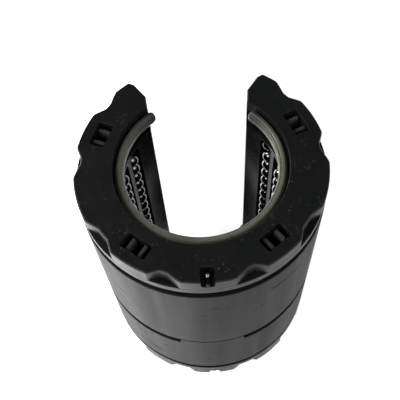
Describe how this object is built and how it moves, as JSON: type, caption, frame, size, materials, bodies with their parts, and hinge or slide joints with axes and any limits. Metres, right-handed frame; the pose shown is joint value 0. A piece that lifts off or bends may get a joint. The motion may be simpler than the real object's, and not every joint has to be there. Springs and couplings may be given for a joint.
{
  "type": "linear ball bushing",
  "caption": "Open, slotted linear ball bushing: polymer shell halves, end caps, floating seals, a ball cage and rocking load plates around recirculating balls.",
  "frame": {"origin": "bottom centre of the bounding box, on the plane the lower end cap rests on", "axes": "+Z along the bore, from the lower to the upper end; +Y out through the middle of the open slot; +X to the right when facing the bushing from behind the slot"},
  "size_m": [0.0604, 0.0551, 0.0762],
  "materials": {
    "shell_polymer": "smooth moulded black nylon, semi-gloss, lightly scuffed",
    "cap_polymer": "moulded black nylon, satin face with fine scuffs and dust",
    "cage_polymer": "moulded black acetal, satin",
    "seal_rubber": "grey-green elastomer, satin, slightly greasy",
    "ball_steel": "polished bearing steel, oiled",
    "plate_steel": "ground and hardened steel",
    "pin_steel": "small turned steel dowel"
  },
  "bodies": {
    "housing": {"upper_shell": "shell_polymer", "lower_shell": "shell_polymer", "upper_end_cap": "cap_polymer", "lower_end_cap": "cap_polymer", "ball_cage": "cage_polymer", "upper_key_pin": "pin_steel", "lower_key_pin": "pin_steel"},
    "load_balls_1": {"load_balls_1": "ball_steel"},
    "load_balls_2": {"load_balls_2": "ball_steel"},
    "load_balls_3": {"load_balls_3": "ball_steel"},
    "load_balls_4": {"load_balls_4": "ball_steel"},
    "load_balls_5": {"load_balls_5": "ball_steel"},
    "load_balls_6": {"load_balls_6": "ball_steel"},
    "load_balls_7": {"load_balls_7": "ball_steel"},
    "load_balls_8": {"load_balls_8": "ball_steel"},
    "return_balls_1": {"return_balls_1": "ball_steel"},
    "return_balls_2": {"return_balls_2": "ball_steel"},
    "return_balls_3": {"return_balls_3": "ball_steel"},
    "return_balls_4": {"return_balls_4": "ball_steel"},
    "return_balls_5": {"return_balls_5": "ball_steel"},
    "return_balls_6": {"return_balls_6": "ball_steel"},
    "return_balls_7": {"return_balls_7": "ball_steel"},
    "return_balls_8": {"return_balls_8": "ball_steel"},
    "upper_turn_ball_1": {"upper_turn_ball_1": "ball_steel"},
    "lower_turn_ball_1": {"lower_turn_ball_1": "ball_steel"},
    "upper_turn_ball_2": {"upper_turn_ball_2": "ball_steel"},
    "lower_turn_ball_2": {"lower_turn_ball_2": "ball_steel"},
    "upper_turn_ball_3": {"upper_turn_ball_3": "ball_steel"},
    "lower_turn_ball_3": {"lower_turn_ball_3": "ball_steel"},
    "upper_turn_ball_4": {"upper_turn_ball_4": "ball_steel"},
    "lower_turn_ball_4": {"lower_turn_ball_4": "ball_steel"},
    "upper_turn_ball_5": {"upper_turn_ball_5": "ball_steel"},
    "lower_turn_ball_5": {"lower_turn_ball_5": "ball_steel"},
    "upper_turn_ball_6": {"upper_turn_ball_6": "ball_steel"},
    "lower_turn_ball_6": {"lower_turn_ball_6": "ball_steel"},
    "upper_turn_ball_7": {"upper_turn_ball_7": "ball_steel"},
    "lower_turn_ball_7": {"lower_turn_ball_7": "ball_steel"},
    "upper_turn_ball_8": {"upper_turn_ball_8": "ball_steel"},
    "lower_turn_ball_8": {"lower_turn_ball_8": "ball_steel"},
    "load_plate_1": {"load_plate_1": "plate_steel"},
    "load_plate_2": {"load_plate_2": "plate_steel"},
    "load_plate_3": {"load_plate_3": "plate_steel"},
    "load_plate_4": {"load_plate_4": "plate_steel"},
    "upper_seal": {"upper_seal": "seal_rubber"},
    "lower_seal": {"lower_seal": "seal_rubber"}
  },
  "joints": [
    {"name": "load_balls_1_roll", "type": "slide", "parent": "housing", "child": "load_balls_1", "axis": [0, 0, 1], "range_m": [-0.002, 0.002]},
    {"name": "load_balls_2_roll", "type": "slide", "parent": "housing", "child": "load_balls_2", "axis": [0, 0, 1], "range_m": [-0.002, 0.002]},
    {"name": "load_balls_3_roll", "type": "slide", "parent": "housing", "child": "load_balls_3", "axis": [0, 0, 1], "range_m": [-0.002, 0.002]},
    {"name": "load_balls_4_roll", "type": "slide", "parent": "housing", "child": "load_balls_4", "axis": [0, 0, 1], "range_m": [-0.002, 0.002]},
    {"name": "load_balls_5_roll", "type": "slide", "parent": "housing", "child": "load_balls_5", "axis": [0, 0, 1], "range_m": [-0.002, 0.002]},
    {"name": "load_balls_6_roll", "type": "slide", "parent": "housing", "child": "load_balls_6", "axis": [0, 0, 1], "range_m": [-0.002, 0.002]},
    {"name": "load_balls_7_roll", "type": "slide", "parent": "housing", "child": "load_balls_7", "axis": [0, 0, 1], "range_m": [-0.002, 0.002]},
    {"name": "load_balls_8_roll", "type": "slide", "parent": "housing", "child": "load_balls_8", "axis": [0, 0, 1], "range_m": [-0.002, 0.002]},
    {"name": "return_balls_1_roll", "type": "slide", "parent": "housing", "child": "return_balls_1", "axis": [0, 0, 1], "range_m": [-0.002, 0.002]},
    {"name": "return_balls_2_roll", "type": "slide", "parent": "housing", "child": "return_balls_2", "axis": [0, 0, 1], "range_m": [-0.002, 0.002]},
    {"name": "return_balls_3_roll", "type": "slide", "parent": "housing", "child": "return_balls_3", "axis": [0, 0, 1], "range_m": [-0.002, 0.002]},
    {"name": "return_balls_4_roll", "type": "slide", "parent": "housing", "child": "return_balls_4", "axis": [0, 0, 1], "range_m": [-0.002, 0.002]},
    {"name": "return_balls_5_roll", "type": "slide", "parent": "housing", "child": "return_balls_5", "axis": [0, 0, 1], "range_m": [-0.002, 0.002]},
    {"name": "return_balls_6_roll", "type": "slide", "parent": "housing", "child": "return_balls_6", "axis": [0, 0, 1], "range_m": [-0.002, 0.002]},
    {"name": "return_balls_7_roll", "type": "slide", "parent": "housing", "child": "return_balls_7", "axis": [0, 0, 1], "range_m": [-0.002, 0.002]},
    {"name": "return_balls_8_roll", "type": "slide", "parent": "housing", "child": "return_balls_8", "axis": [0, 0, 1], "range_m": [-0.002, 0.002]},
    {"name": "upper_turn_ball_1_swing", "type": "hinge", "parent": "housing", "child": "upper_turn_ball_1", "pos_m": [0.01773, 0.01617, 0.0621], "axis": [-0.9908, -0.1351, 0], "range_deg": [-39.37, 39.37]},
    {"name": "lower_turn_ball_1_swing", "type": "hinge", "parent": "housing", "child": "lower_turn_ball_1", "pos_m": [0.01773, 0.01617, 0.0141], "axis": [-0.9908, -0.1351, 0], "range_deg": [-39.37, 39.37]},
    {"name": "upper_turn_ball_2_swing", "type": "hinge", "parent": "housing", "child": "upper_turn_ball_2", "pos_m": [0.02218, 0.00517, 0.0621], "axis": [0.8066, 0.5911, 0], "range_deg": [-39.37, 39.37]},
    {"name": "lower_turn_ball_2_swing", "type": "hinge", "parent": "housing", "child": "lower_turn_ball_2", "pos_m": [0.02218, 0.00517, 0.0141], "axis": [0.8066, 0.5911, 0], "range_deg": [-39.37, 39.37]},
    {"name": "upper_turn_ball_3_swing", "type": "hinge", "parent": "housing", "child": "upper_turn_ball_3", "pos_m": [0.01838, -0.01006, 0.0621], "axis": [-0.4346, 0.9006, 0], "range_deg": [-39.37, 39.37]},
    {"name": "lower_turn_ball_3_swing", "type": "hinge", "parent": "housing", "child": "lower_turn_ball_3", "pos_m": [0.01838, -0.01006, 0.0141], "axis": [-0.4346, 0.9006, 0], "range_deg": [-39.37, 39.37]},
    {"name": "upper_turn_ball_4_swing", "type": "hinge", "parent": "housing", "child": "upper_turn_ball_4", "pos_m": [0.00929, -0.01769, 0.0621], "axis": [0.8114, -0.5844, 0], "range_deg": [-39.37, 39.37]},
    {"name": "lower_turn_ball_4_swing", "type": "hinge", "parent": "housing", "child": "lower_turn_ball_4", "pos_m": [0.00929, -0.01769, 0.0141], "axis": [0.8114, -0.5844, 0], "range_deg": [-39.37, 39.37]},
    {"name": "upper_turn_ball_5_swing", "type": "hinge", "parent": "housing", "child": "upper_turn_ball_5", "pos_m": [-0.00929, -0.01769, 0.0621], "axis": [0.8114, 0.5844, 0], "range_deg": [-39.37, 39.37]},
    {"name": "lower_turn_ball_5_swing", "type": "hinge", "parent": "housing", "child": "lower_turn_ball_5", "pos_m": [-0.00929, -0.01769, 0.0141], "axis": [0.8114, 0.5844, 0], "range_deg": [-39.37, 39.37]},
    {"name": "upper_turn_ball_6_swing", "type": "hinge", "parent": "housing", "child": "upper_turn_ball_6", "pos_m": [-0.01838, -0.01006, 0.0621], "axis": [-0.4346, -0.9006, 0], "range_deg": [-39.37, 39.37]},
    {"name": "lower_turn_ball_6_swing", "type": "hinge", "parent": "housing", "child": "lower_turn_ball_6", "pos_m": [-0.01838, -0.01006, 0.0141], "axis": [-0.4346, -0.9006, 0], "range_deg": [-39.37, 39.37]},
    {"name": "upper_turn_ball_7_swing", "type": "hinge", "parent": "housing", "child": "upper_turn_ball_7", "pos_m": [-0.02218, 0.00517, 0.0621], "axis": [0.8066, -0.5911, 0], "range_deg": [-39.37, 39.37]},
    {"name": "lower_turn_ball_7_swing", "type": "hinge", "parent": "housing", "child": "lower_turn_ball_7", "pos_m": [-0.02218, 0.00517, 0.0141], "axis": [0.8066, -0.5911, 0], "range_deg": [-39.37, 39.37]},
    {"name": "upper_turn_ball_8_swing", "type": "hinge", "parent": "housing", "child": "upper_turn_ball_8", "pos_m": [-0.01773, 0.01617, 0.0621], "axis": [-0.9908, 0.1351, 0], "range_deg": [-39.37, 39.37]},
    {"name": "lower_turn_ball_8_swing", "type": "hinge", "parent": "housing", "child": "lower_turn_ball_8", "pos_m": [-0.01773, 0.01617, 0.0141], "axis": [-0.9908, 0.1351, 0], "range_deg": [-39.37, 39.37]},
    {"name": "load_plate_1_rock", "type": "hinge", "parent": "housing", "child": "load_plate_1", "pos_m": [0.02397, 0.01229, 0.0381], "axis": [0.3746, -0.9272, 0], "range_deg": [-0.5, 0.5]},
    {"name": "load_plate_2_rock", "type": "hinge", "parent": "housing", "child": "load_plate_2", "pos_m": [0.01662, -0.01719, 0.0381], "axis": [-0.766, -0.6428, 0], "range_deg": [-0.5, 0.5]},
    {"name": "load_plate_3_rock", "type": "hinge", "parent": "housing", "child": "load_plate_3", "pos_m": [-0.01662, -0.01719, 0.0381], "axis": [-0.766, 0.6428, 0], "range_deg": [-0.5, 0.5]},
    {"name": "load_plate_4_rock", "type": "hinge", "parent": "housing", "child": "load_plate_4", "pos_m": [-0.02397, 0.01229, 0.0381], "axis": [0.3746, 0.9272, 0], "range_deg": [-0.5, 0.5]},
    {"name": "upper_seal_float", "type": "hinge", "parent": "housing", "child": "upper_seal", "pos_m": [0.00035, 0.00261, 0.0762], "axis": [0, 0, 1], "range_deg": [-1.5, 5.3]},
    {"name": "lower_seal_float", "type": "hinge", "parent": "housing", "child": "lower_seal", "pos_m": [-0.00035, 0.00261, 0], "axis": [0, 0, -1], "range_deg": [-1.5, 5.3]}
  ],
  "couplings": [
    {"joint": "load_balls_2_roll", "follows": "load_balls_1_roll", "ratio": 1},
    {"joint": "load_balls_3_roll", "follows": "load_balls_1_roll", "ratio": 1},
    {"joint": "load_balls_4_roll", "follows": "load_balls_1_roll", "ratio": 1},
    {"joint": "load_balls_5_roll", "follows": "load_balls_1_roll", "ratio": 1},
    {"joint": "load_balls_6_roll", "follows": "load_balls_1_roll", "ratio": 1},
    {"joint": "load_balls_7_roll", "follows": "load_balls_1_roll", "ratio": 1},
    {"joint": "load_balls_8_roll", "follows": "load_balls_1_roll", "ratio": 1},
    {"joint": "return_balls_1_roll", "follows": "load_balls_1_roll", "ratio": -1},
    {"joint": "return_balls_2_roll", "follows": "load_balls_1_roll", "ratio": -1},
    {"joint": "return_balls_3_roll", "follows": "load_balls_1_roll", "ratio": -1},
    {"joint": "return_balls_4_roll", "follows": "load_balls_1_roll", "ratio": -1},
    {"joint": "return_balls_5_roll", "follows": "load_balls_1_roll", "ratio": -1},
    {"joint": "return_balls_6_roll", "follows": "load_balls_1_roll", "ratio": -1},
    {"joint": "return_balls_7_roll", "follows": "load_balls_1_roll", "ratio": -1},
    {"joint": "return_balls_8_roll", "follows": "load_balls_1_roll", "ratio": -1},
    {"joint": "upper_turn_ball_1_swing", "follows": "load_balls_1_roll", "rad_per_m": 343.09},
    {"joint": "lower_turn_ball_1_swing", "follows": "load_balls_1_roll", "rad_per_m": 343.09},
    {"joint": "upper_turn_ball_2_swing", "follows": "load_balls_1_roll", "rad_per_m": 343.09},
    {"joint": "lower_turn_ball_2_swing", "follows": "load_balls_1_roll", "rad_per_m": 343.09},
    {"joint": "upper_turn_ball_3_swing", "follows": "load_balls_1_roll", "rad_per_m": 343.09},
    {"joint": "lower_turn_ball_3_swing", "follows": "load_balls_1_roll", "rad_per_m": 343.09},
    {"joint": "upper_turn_ball_4_swing", "follows": "load_balls_1_roll", "rad_per_m": 343.09},
    {"joint": "lower_turn_ball_4_swing", "follows": "load_balls_1_roll", "rad_per_m": 343.09},
    {"joint": "upper_turn_ball_5_swing", "follows": "load_balls_1_roll", "rad_per_m": 343.09},
    {"joint": "lower_turn_ball_5_swing", "follows": "load_balls_1_roll", "rad_per_m": 343.09},
    {"joint": "upper_turn_ball_6_swing", "follows": "load_balls_1_roll", "rad_per_m": 343.09},
    {"joint": "lower_turn_ball_6_swing", "follows": "load_balls_1_roll", "rad_per_m": 343.09},
    {"joint": "upper_turn_ball_7_swing", "follows": "load_balls_1_roll", "rad_per_m": 343.09},
    {"joint": "lower_turn_ball_7_swing", "follows": "load_balls_1_roll", "rad_per_m": 343.09},
    {"joint": "upper_turn_ball_8_swing", "follows": "load_balls_1_roll", "rad_per_m": 343.09},
    {"joint": "lower_turn_ball_8_swing", "follows": "load_balls_1_roll", "rad_per_m": 343.09}
  ]
}
